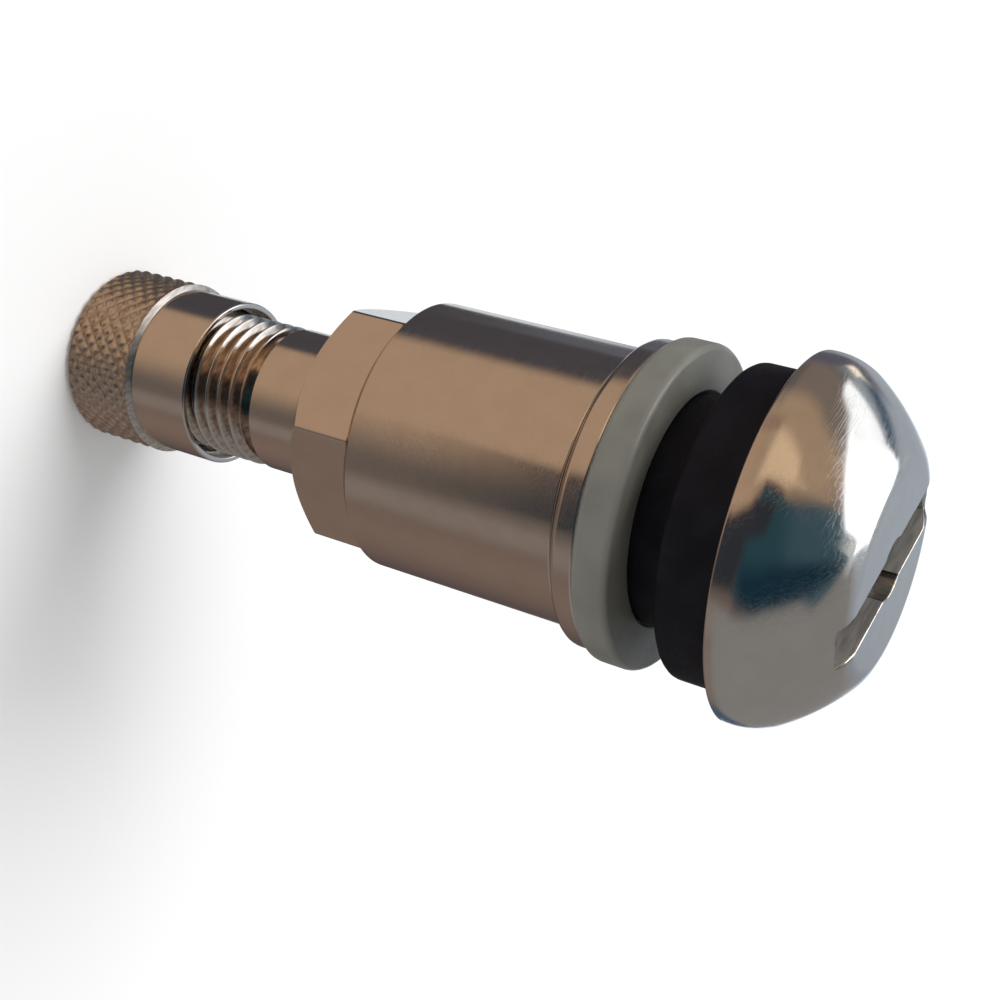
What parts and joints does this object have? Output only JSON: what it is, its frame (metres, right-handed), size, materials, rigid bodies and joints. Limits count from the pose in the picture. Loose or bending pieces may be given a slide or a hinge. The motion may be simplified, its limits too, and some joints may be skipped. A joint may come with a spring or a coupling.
{
  "type": "tyre valve",
  "caption": "Clamp-in metal tyre valve with a slotted domed foot, rubber grommet, washer, hexagon sleeve nut and knurled cap.",
  "frame": {"origin": "centre of the closed end face of the cap, on the valve's axis", "axes": "+Z along the valve's axis from the cap to the foot, +X along the slot in the foot"},
  "size_m": [0.0176, 0.0176, 0.0453],
  "materials": {
    "plated_brass": "polished nickel plating on turned brass",
    "core_brass": "bright turned brass",
    "spring_steel": "drawn wire",
    "grommet_rubber": "matte moulded rubber",
    "seal_rubber": "matte moulded rubber",
    "gasket_plastic": "smooth white plastic",
    "nylon": "milky translucent nylon"
  },
  "bodies": {
    "stem": {"stem": "plated_brass", "grommet": "grommet_rubber", "core_plug": "core_brass", "core_barrel": "core_brass", "core_gasket": "gasket_plastic", "core_spring": "spring_steel"},
    "washer": {"washer": "nylon"},
    "nut": {"nut": "plated_brass"},
    "cap_seal": {"cap_seal": "seal_rubber"},
    "cap": {"cap": "plated_brass"},
    "core_pin": {"core_pin": "core_brass", "core_cup": "core_brass", "core_seal": "seal_rubber"}
  },
  "joints": [
    {"name": "nut_slide", "type": "slide", "parent": "stem", "child": "washer", "axis": [0, 0, 1], "range_m": [-0.007, 0.0013]},
    {"name": "nut_turn", "type": "hinge", "parent": "washer", "child": "nut", "pos_m": [0, 0, 0.0333], "axis": [0, 0, 1], "range_deg": [-3361, 625]},
    {"name": "cap_slide", "type": "slide", "parent": "stem", "child": "cap_seal", "axis": [0, 0, -1], "range_m": [0, 0.00635]},
    {"name": "cap_turn", "type": "hinge", "parent": "cap_seal", "child": "cap", "pos_m": [0, 0, 0], "axis": [0, 0, -1], "range_deg": [0, 2881]},
    {"name": "core_pin_slide", "type": "slide", "parent": "stem", "child": "core_pin", "axis": [0, 0, 1], "range_m": [0, 0.0012], "stiffness_N_per_m": 1200, "springref_m": -0.0015, "deforming": ["core_spring"]}
  ],
  "couplings": [
    {"joint": "nut_turn", "follows": "nut_slide", "rad_per_m": 8377.6},
    {"joint": "cap_turn", "follows": "cap_slide", "rad_per_m": 7915.8}
  ]
}
